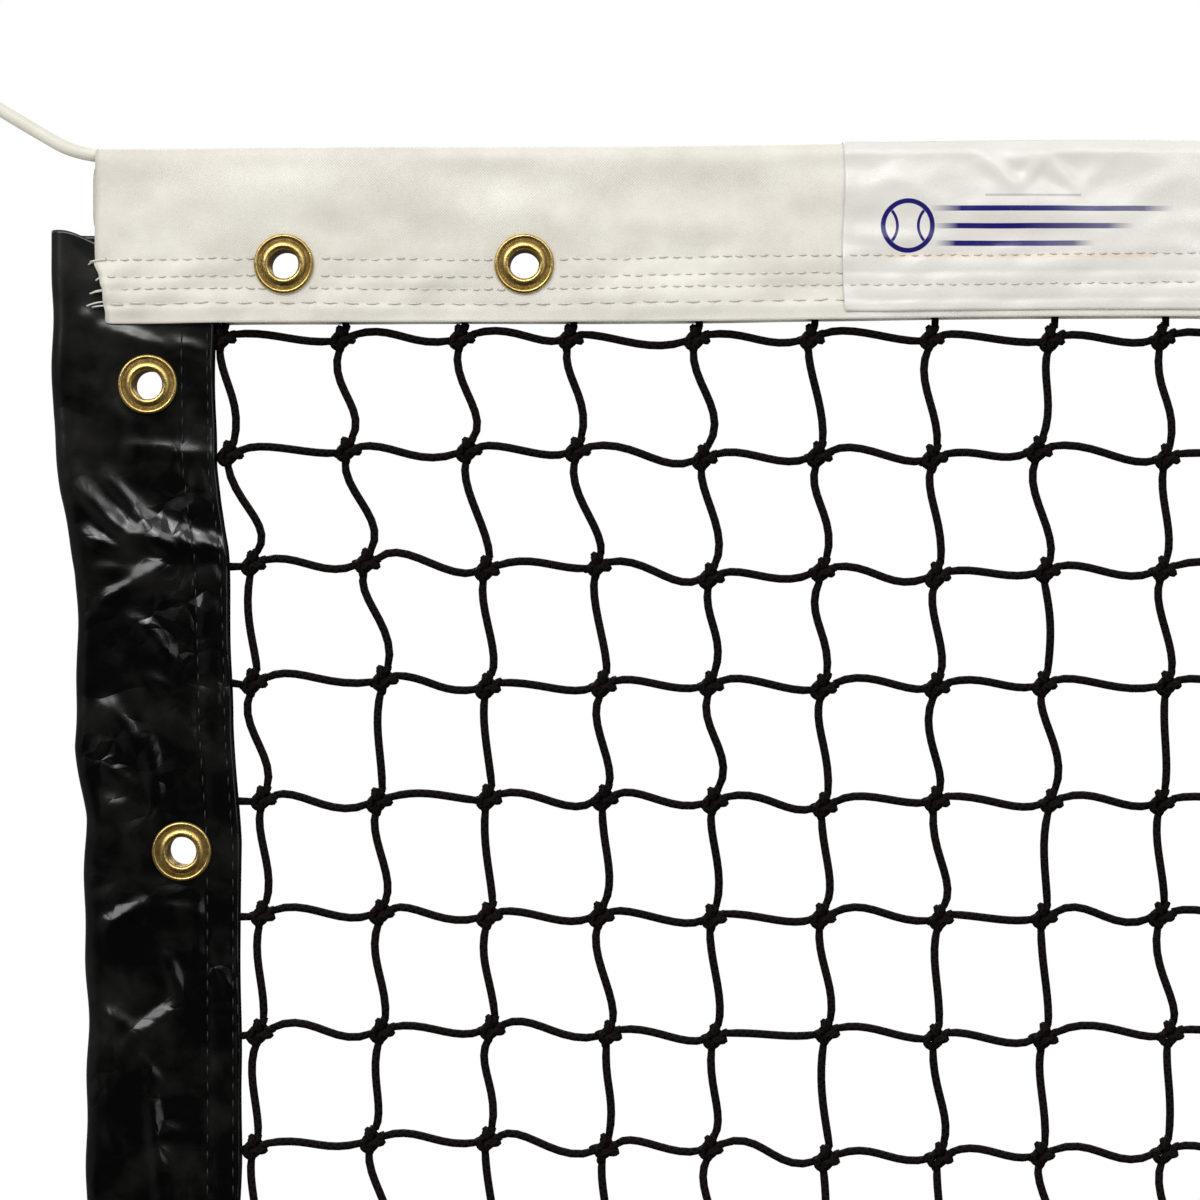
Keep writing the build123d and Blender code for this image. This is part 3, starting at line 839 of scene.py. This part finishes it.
run = np.concatenate([foot_walls, fold_start + FOOT_HALF * turn, fold_end + foot_walls])
chart = np.stack([u + 0 * heights, run + 0 * u], -1)
foot = cloth("bottom_tape_cloth", places[:, ::-1], chart[:, ::-1], [], TAPE_WALL, black_vinyl,
             "black_vinyl", "bottom_tape")

# ---- Headband ----------------------------------------------------------------------------------
# A long strip of cream coated cloth folded over the cable. Four rows of thread close it below
# the cable; they run out at the net's ends, where the lower edge is gathered and frays a little.
BAND_WALL, BAND_RADIUS, BAND_HEIGHT = 1.0, 4.7, 66.5
FOLD_DROP = 5.2  # drop of the half round fold's centre
BAND_BACK_RUN = 76.06  # on the flat strip, the front wall and the fold: the back wall starts here
BAND_SEWN = ((42.9, 4.7), (49.3, 4.7), (53.9, 4.7), (59.5, 8.0))  # drop and stitch length of each row
BAND_INSET = HALF_LENGTH - BAND_END / MM
BAND_LENGTH = 2 * BAND_END / MM
BAND_RINGS = [(88.5 - BAND_INSET, 44.6), (178.6 - BAND_INSET, 44.6)]
ALL_BAND_RINGS = BAND_RINGS + [(BAND_LENGTH - u, drop) for u, drop in BAND_RINGS]
# Soft dents: distance from the left end, drop, half width, half height and depth, all in mm.
DENTS = (
    (62, 14, 22, 6, 0.7), (70, 5, 13, 4, -0.8), (83, 33, 16, 5, -0.9), (40, 22, 26, 8, 0.8),
    (58, 34, 12, 6, 0.7), (22, 32, 18, 7, -0.6), (118, 20, 28, 9, 0.6), (150, 12, 18, 6, -0.7),
    (168, 30, 22, 7, 0.8), (205, 18, 30, 8, -0.7), (236, 30, 20, 6, 0.6), (262, 12, 22, 7, -0.6),
    (330, 26, 24, 8, 0.6), (372, 14, 22, 7, -0.6),
)


def band_rise(u):
    """The cable lifts the band slightly, in slow waves, away from the net's two ends."""
    from_end = np.minimum(u, BAND_LENGTH - u)
    return -0.4 + 2.6 * eased(from_end / 420.0) + 0.35 * np.sin(u / 47.0) * eased(from_end / 60.0)


def band_swell(u, drop, back):
    """How far the band's cloth stands out of its plane at u along it, in mm."""
    seeded = np.random.default_rng(77 + 100 * back)
    from_left, from_right = u, BAND_LENGTH - u
    out = 0.95 * waves(u / 2.0, drop, 27.0, seeded) + 0.3 * waves(u / 1.4, drop * 1.3, 11.0, seeded)
    if not back:
        for at, down, wide, tall, depth in DENTS:
            out = out + 2.1 * depth * np.exp(-(((u - at) / wide) ** 2) - ((drop - down) / tall) ** 2)
    gathered = 0.55 + 0.75 * np.exp(-from_left / 60.0) + 0.75 * np.exp(-from_right / 60.0)
    low, high = BAND_SEWN[0][0], BAND_SEWN[-1][0]
    inside = eased((drop - low + 4) / 4) * eased((high + 5 - drop) / 4)
    ripple = np.sin(u / 5.1 + 1.5 * np.sin(u / 17.0) + drop / 2.6) * 0.22
    for row, _ in BAND_SEWN:
        out = out - 1.0 * gathered * np.exp(-(((drop - row + 0.4 * np.sin(u / 31.0)) / 1.3) ** 2))
    out = out + inside * (0.9 * gathered + ripple * (1 + 1.8 * np.exp(-from_left / 60.0)))
    at_hem = eased((drop - 62) / 3)
    out = out - 0.5 * at_hem + 0.5 * at_hem * np.sin(u / 38.0 + 2 * back) ** 2
    limited = np.where(out > 0, 3.4 * np.tanh(out / 3.4), 1.7 * np.tanh(out / 1.7))
    held = limited * clear_of(u, drop, ALL_BAND_RINGS) * eased((drop - 3.0) / 7.0)
    over_tape = eased((51.0 - np.minimum(from_left, from_right)) / 4.0) * eased((drop - 26.0) / 8.0)
    return held + over_tape * 0.9


def coated_cloth(name, clean, soiled, roughness, weave_depth, end_shade, **plain):
    """Woven cloth under a thin coating; the weave follows the cloth's own flat chart. Its left end is
    darkened with painted shade.
    """
    material, shader, start, place = new_material(name, **plain)
    chart = start.node("UVMap", {"uv_map": "cloth"})
    parts = start.node("SeparateXYZ", inputs={"Vector": chart})
    warp = Signal(parts.tree, parts.socket.node.outputs[0])
    weft = Signal(parts.tree, parts.socket.node.outputs[1])
    thread = 2 * math.pi / 0.0011
    weave = warp.math("SINE", warp * thread) * weft.math("SINE", weft * thread)
    cloud = start.stain(place, 17.0, 3.0)
    patch = start.stain(place, 62.0, 4.0)
    speck = start.stain(place, 600.0, 3.0)
    # Painted shade: darker over the 160 mm nearest the left end, and darker still within 2.2 mm of the cut
    # edge.
    tone_near_end = (1.0 - warp / 0.16).held() * end_shade + (1.0 - warp / 0.0022).held() * end_shade * 4.0
    dirt_and_end_shade = ((cloud - 0.5) * 1.5 + (patch - 0.5) * 1.3 + (speck - 0.5) * 0.35 + tone_near_end + 0.38).held()
    dirt_and_end_shade.blend(clean, soiled).into(shader, "Base Color")
    (roughness + (patch - 0.5) * 0.3).into(shader, "Roughness")
    bump(start, shader, weave * weave_depth + patch * 1.6 + speck * 0.25, 0.00022)
    return material, shader


# The second 0.22 sets how strong the painted shade at the left end is.
cream, _ = coated_cloth("headband_vinyl", (0.83, 0.80, 0.725, 1), (0.66, 0.625, 0.55, 1),
                        0.46, 0.22, 0.22, Specular_IOR_Level=0.4)
left_u = np.arange(0, 452, 4.1)
right_u = BAND_LENGTH - np.arange(0, 200, 7.0)[::-1]
grow = np.geomspace(5, 130, 14)
middle_start = left_u[-1] + np.cumsum(grow)
middle_u = np.linspace(middle_start[-1], right_u[0] - 40, 52)[1:]
band_u = np.concatenate([left_u, middle_start, middle_u, right_u])[:, None]
# The cloth's rows follow the sewn rows closely and are wider apart above them.
front_drops = np.array([
    66.5, 64.6, 61.8, 60.6, 59.5, 58.2, 55.4, 53.9, 52.4, 50.6, 49.3, 47.8, 44.4, 42.9, 41.2, 37.6, 33.6,
    29.5, 25.4, 21.4, 17.4, 13.4, 9.4, FOLD_DROP,
])
hoop = np.radians(np.linspace(0, 180, 7))[1:-1]
count = front_drops.size
drops = np.concatenate([front_drops, FOLD_DROP - BAND_RADIUS * np.sin(hoop), front_drops[::-1]])
wall_depth = np.full(count, BAND_RADIUS)
depths = np.concatenate([-wall_depth, -BAND_RADIUS * np.cos(hoop), wall_depth])
front = np.arange(drops.size) < count
back = np.arange(drops.size) >= count + hoop.size
fringe = rng.normal(0, 0.55, drops.size) * (drops > 43) * (drops < 62)
left_shift = np.where(back, -2.4 * eased((drops - 3) / 4) * eased((34 - drops) / 6), 0)
left_shift = left_shift + 3.8 * eased((drops - 41) / 20.0) * front + fringe
right_shift = 2.5 * eased((drops - 41) / 20.0) * back + np.roll(fringe, 5)
end_left, end_right = 1 - eased(band_u / 26.0), 1 - eased((BAND_LENGTH - band_u) / 26.0)
front_swell, back_swell = (band_swell(band_u, drops, at_back) for at_back in (False, True))
outward = np.where(front, -front_swell, 0) + np.where(back, back_swell, 0)
places = np.stack([
    band_u - BAND_LENGTH / 2 + left_shift * end_left - right_shift * end_right,
    depths + outward,
    TOP / MM - drops + band_rise(band_u),
], -1)
run = np.concatenate([
    BAND_HEIGHT - front_drops,
    BAND_HEIGHT - FOLD_DROP + BAND_RADIUS * hoop,
    BAND_BACK_RUN + front_drops[::-1] - FOLD_DROP,
])
chart = np.stack([band_u + 0 * drops, run + 0 * band_u], -1)
ring_runs = []
for u, drop in BAND_RINGS:
    ring_runs += [(u, BAND_HEIGHT - drop), (u, BAND_BACK_RUN + drop - FOLD_DROP)]
ring_runs += [(BAND_LENGTH - u, run_at) for u, run_at in ring_runs]
band = cloth("headband_cloth", places, chart, ring_runs, BAND_WALL, cream, "headband_vinyl", "headband")

# ---- Label -------------------------------------------------------------------------------------
# A sleeve of glossy white cloth over the headband, caught in its sewn rows, with a printed
# emblem at the front: a ball with three streaks behind it.
LABEL_LEFT, LABEL_WIDTH, LABEL_HEIGHT, LABEL_WALL = 298.3 - BAND_INSET, 146.0, 64.0, 0.4
LABEL_RADIUS = BAND_RADIUS + 0.9  # the label's middle line lies that far outside the headband's
LABEL_BACK_RUN = 76.4  # as BAND_BACK_RUN, on the label's flat piece
FRONT_FACE = -2 * MM  # only cloth in front of this depth is printed
# As FOLDS, with the distance from the label's left edge in place of the inset.
LABEL_FOLDS = (
    (52, 7, 64, 17, 0.8, 1.9), (66, 17, 74, 8, 0.7, 1.8), (76, 8, 88, 19, 0.8, 1.9),
    (60, 8, 70, 8, 0.5, 2.0), (90, 18, 98, 9, 0.4, 2.2), (3, 36, 34, 38, 0.45, 1.9),
    (104, 24, 128, 15, 0.35, 4.0), (14, 12, 34, 22, 0.35, 4.5),
)


def white_gloss():
    """The white cloth with its print: x from the label's left edge and drop from its fold, in mm."""
    material, shader = coated_cloth("label_vinyl", (0.80, 0.778, 0.735, 1), (0.72, 0.695, 0.65, 1),
                                    0.24, 0.10, 0.0, Specular_IOR_Level=0.5)
    start = Signal(material.node_tree)
    place = start.node("TexCoord", output=3)
    parts = start.node("SeparateXYZ", inputs={"Vector": place})
    x, y, z = (Signal(parts.tree, parts.socket.node.outputs[axis]) for axis in range(3))
    across = (x - (LEFT + (BAND_INSET + LABEL_LEFT) * MM)) / MM
    drop = (TOP + 2.2 * MM - z) / MM

    def near(value, target, reach):
        """1 where value is within reach of target, with a soft 0.15 mm edge."""
        return ((reach - abs(value - target)) / 0.15 + 0.5).held()

    def circle(centre, down):
        return start.math("SQRT", (across - centre) * (across - centre) + (drop - down) * (drop - down))

    ball = circle(24.0, 32.5)
    inside = (9.0 - ball).held()
    mark = start.math("MAXIMUM", near(ball, 9.2, 0.9), near(circle(11.5, 32.5), 8.6, 0.55) * inside)
    mark = start.math("MAXIMUM", mark, near(circle(36.5, 32.5), 8.6, 0.55) * inside)
    for down, length in ((26.0, 80.0), (32.5, 66.0), (39.0, 52.0)):
        share = (across - 38.0) / length
        streak = near(drop, down, 1.0) * near(share, 0.5, 0.5) * (1.15 - share * 0.35).held()
        mark = start.math("MAXIMUM", mark, streak)
    front_side = ((FRONT_FACE - y) / 0.0005).held()
    printed = (mark * front_side).held()
    hairline = near(drop, 21.0, 0.45) * near(across, 71.0, 18.0) * front_side * 0.55
    blush = near(drop, 43.6, 0.8) * near(across, 66.0, 51.0) * front_side * 0.35
    colour = Signal(parts.tree, shader.inputs["Base Color"].links[0].from_socket)
    for share, ink in (
        (hairline, (0.30, 0.30, 0.31, 1)),
        (blush, (0.80, 0.55, 0.34, 1)),
        (printed, (0.014, 0.009, 0.15, 1)),
    ):
        colour = share.blend(colour, ink)
    colour.into(shader, "Base Color")
    return material


label_u = np.linspace(0, LABEL_WIDTH, 68)[:, None]
label_front = np.concatenate([[LABEL_HEIGHT], front_drops[2:15], np.arange(39.5, 5.3, -2.1), [FOLD_DROP]])
label_drops = np.concatenate([label_front, FOLD_DROP - LABEL_RADIUS * np.sin(hoop), label_front[::-1]])
front_count = label_front.size
side_depth = np.full(front_count, LABEL_RADIUS)
label_depths = np.concatenate([-side_depth, -LABEL_RADIUS * np.cos(hoop), side_depth])
label_is_front = np.arange(label_drops.size) < front_count
label_is_back = np.arange(label_drops.size) >= front_count + hoop.size
ridges = sum(fold_height(label_u, label_drops, fold) for fold in LABEL_FOLDS)
# The label's two edges stand a little off the headband.
lifted = 0.5 * (1 - eased(label_u / 4.0)) + 0.4 * (1 - eased((LABEL_WIDTH - label_u) / 4.0))
at = label_u + LABEL_LEFT
front_out = band_swell(at, label_drops, False) + 2.2 * np.abs(ridges) + lifted
back_out = band_swell(at, label_drops, True) + lifted
edge_wave = 0.5 * np.sin(label_drops / 9.0) * (1 - eased(label_u / 12.0))
label_places = np.stack([
    at - BAND_LENGTH / 2 + 0 * label_drops + edge_wave,
    label_depths - label_is_front * front_out + label_is_back * back_out,
    TOP / MM - label_drops + band_rise(at) + 0.3 * (1 - eased(label_u / 20.0)),
], -1)
label_run = np.concatenate([
    LABEL_HEIGHT - label_front,
    LABEL_HEIGHT - FOLD_DROP + LABEL_RADIUS * hoop,
    LABEL_BACK_RUN + label_front[::-1] - FOLD_DROP,
])
label_chart = np.stack([label_u + 0 * label_drops, label_run + 0 * label_u], -1)
label = cloth("label_cloth", label_places, label_chart, [], LABEL_WALL, white_gloss(),
              "label_vinyl", "label_patch")

# ---- Grommets ----------------------------------------------------------------------------------
# Stamped brass eyelets, a barrel rolled over a washer at the back. The brass has gone dull, its
# grooves are dark brown, partly tarnish and partly painted shade, and its edges are rubbed bright.
def grommet_brass():
    """Brass, dark brown in its grooves, partly tarnish and partly painted shade, and bright where an edge
    is rubbed.
    """
    material, shader, start, place = new_material("grommet_brass", Metallic=1.0)
    cloud = start.stain(place, 170.0, 4.0, 0.6, 0.8)
    spot = start.stain(place, 700.0, 4.0)
    pits = start.stain(place, 2600.0, 2.0)
    groove = start.node("NewGeometry", output=7)
    # Grooves go dark brown, partly tarnish and partly painted shade; convex edges are rubbed bright.
    wear_and_groove_shade = ((groove - 0.5) * 5.0 + (cloud - 0.5) * 1.2 + 0.55).held()
    wear_and_groove_shade.blend((0.19, 0.105, 0.024, 1), (0.84, 0.63, 0.23, 1)).into(shader, "Base Color")
    (0.40 - wear_and_groove_shade * 0.16 + (spot - 0.5) * 0.3).into(shader, "Roughness")
    bump(start, shader, cloud * 0.8 + pits * 0.3 + spot * 0.3, 0.00018)
    return material


brass = grommet_brass()
for node_name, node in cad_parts.items():
    if "grommet" in node_name or "washer" in node_name:
        node.data.materials.clear()
        node.data.materials.append(brass)

# ---- Sewing thread -----------------------------------------------------------------------------
# Lockstitch in bonded polyester: cream on the headband and label, black on the tapes. Each
# stitch lies in the cloth's groove. Near the left end it arches and dives in at both ends.
THREAD_RADIUS = 0.30 * MM
ARCHED_LENGTH = 600 * MM
SIDE_PITCH, SIDE_STITCH = 6.4, 4.3  # from one stitch to the next, and what shows of each
FOOT_PITCH, FOOT_STITCH = 7.0, 4.8
RING_CLEAR = (11.6, 11.8)  # rows stop this near to a grommet's middle


def thread_material(name, light, dark):
    """Twisted thread between two close shades."""
    material, shader, start, place = new_material(name, Specular_IOR_Level=0.4)
    twist = start.stain(place, 1400.0, 3.0)
    twist.blend(light, dark).into(shader, "Base Color")
    (0.42 + twist * 0.2).into(shader, "Roughness")
    bump(start, shader, twist, 0.0001)
    return material


def stitches(name, starts, ends, outwards, material):
    """One short thread from each start to its end, from lists of rows of points in mm."""
    starts, ends = (np.concatenate(part) * MM for part in (starts, ends))
    outwards = np.broadcast_to(outwards, starts.shape)
    arched = starts[:, 0] < LEFT + ARCHED_LENGTH
    points, faces = [], []
    for group, heights in ((arched, (-0.3, 0.3, -0.3)), (~arched, (0.05, 0.05))):
        if not group.any():
            continue
        start, end, out = starts[group], ends[group], outwards[group]
        shares = np.linspace(0, 1, len(heights))
        paths = [start + (end - start) * share + out * up * MM for share, up in zip(shares, heights)]
        shell, (walls, caps), _ = strand_shapes(np.stack(paths, 1), THREAD_RADIUS, 3)
        used = sum(map(len, points))
        points.append(shell)
        faces += (walls + used).tolist() + (caps + used).tolist()
    mesh_piece(name, np.concatenate(points).tolist(), faces, material)


cream_thread = thread_material("cream_thread", (0.84, 0.81, 0.74, 1), (0.62, 0.58, 0.50, 1))
black_thread = thread_material("black_thread", (0.022, 0.022, 0.023, 1), (0.008, 0.008, 0.008, 1))
rng = np.random.default_rng(52)
for facing, name in ((-1, "front"), (1, "back")):
    starts, ends = [], []
    for row, pitch in BAND_SEWN:
        at = np.arange(4.2, BAND_LENGTH - 4, pitch)
        at = at[clear_of(at, row, ALL_BAND_RINGS, *RING_CLEAR) > 0.5]
        on_label = (at > LABEL_LEFT - 1) & (at < LABEL_LEFT + LABEL_WIDTH)
        hidden = on_label & (row in (BAND_SEWN[1][0], BAND_SEWN[3][0]))
        at, on_label = at[~hidden], on_label[~hidden]
        for shift, into in ((0.16, starts), (0.16 + 0.68, ends)):
            along = at + shift * pitch + rng.normal(0, 0.12, at.size)
            down = row - 0.4 * np.sin(along / 31.0) + rng.normal(0, 0.16, at.size)
            out = BAND_RADIUS + BAND_WALL / 2 + 0.2 + on_label * 0.6 + band_swell(along, down, facing > 0)
            out = out + 0.25 * np.exp(-along / 50.0)
            height = TOP / MM - down + band_rise(along)
            into.append(np.stack([along - BAND_LENGTH / 2, facing * out, height], 1))
    outwards = np.array([0.0, facing, 0.0])
    stitches(f"headband_thread_{name}", starts, ends, outwards, cream_thread)

# The rows' loose ends stick out of the headband's two ends in little curls.
tips = []
for side in (-1, 1):
    for row, _ in BAND_SEWN:
        for _ in range(4):
            x = side * (BAND_END / MM - 4.5)
            y = rng.choice((-1, 1)) * 5.9
            z = TOP / MM - row + rng.normal(0, 0.5)
            reach, droop, sway = rng.uniform(4.0, 7.5), rng.normal(-1.2, 1.0), rng.normal(0, 0.9)
            tips.append([
                (x + side * reach * share, y + sway * share**2, z + droop * share**2.2)
                for share in np.linspace(0, 1, 6)
            ])
shell, (walls, caps), _ = strand_shapes(np.array(tips) * MM, 0.28 * MM, 4)
tip_faces = walls.tolist() + caps.tolist()
mesh_piece("headband_thread_ends", shell.tolist(), tip_faces, cream_thread)

for side, name in ((-1, "left"), (1, "right")):
    starts, ends, facings = [], [], []
    for sewn in SEWN_INSETS:
        for facing, wall in zip((-1, 1), side_walls[name]):
            down = np.arange(70 if facing < 0 else 40, 1052, SIDE_PITCH) + rng.normal(0, 0.2, 1)
            inset = sewn + between(INNER_EDGE, down) - INNER_EDGE[0][0]
            free = clear_of(inset, down, SIDE_GROMMETS, *RING_CLEAR) > 0.5
            down, inset = down[free], inset[free]
            for length, into in ((0.0, starts), (SIDE_STITCH, ends)):
                at_drop = down + length
                out = TAPE_HALF + 0.12 + wall_height(wall, side_grids[name], inset, at_drop)
                into.append(np.stack([side * (HALF_LENGTH - inset), facing * out, TOP / MM - at_drop], 1))
            facings.append(np.tile((0.0, facing, 0.0), (down.size, 1)))
    outwards = np.concatenate(facings)
    stitches(f"side_tape_thread_{name}", starts, ends, outwards, black_thread)

starts, ends, facings = [], [], []
for row in FOOT_SEWN:
    for facing in (-1, 1):
        at = np.arange(6, foot_length - 8, FOOT_PITCH)
        for length, into in ((0.0, starts), (FOOT_STITCH, ends)):
            along = at + length
            forward, upward = foot_drift(along)
            out = FOOT_HALF + TAPE_WALL / 2 - 0.75 + 0.6 * over_side_tape(along)
            height = FOOT / MM + 0.4 + row + upward
            into.append(np.stack([along - foot_length / 2, facing * out + forward, height], 1))
        facings.append(np.tile((0.0, facing, 0.0), (at.size, 1)))
stitches("bottom_tape_thread", starts, ends, np.concatenate(facings), black_thread)
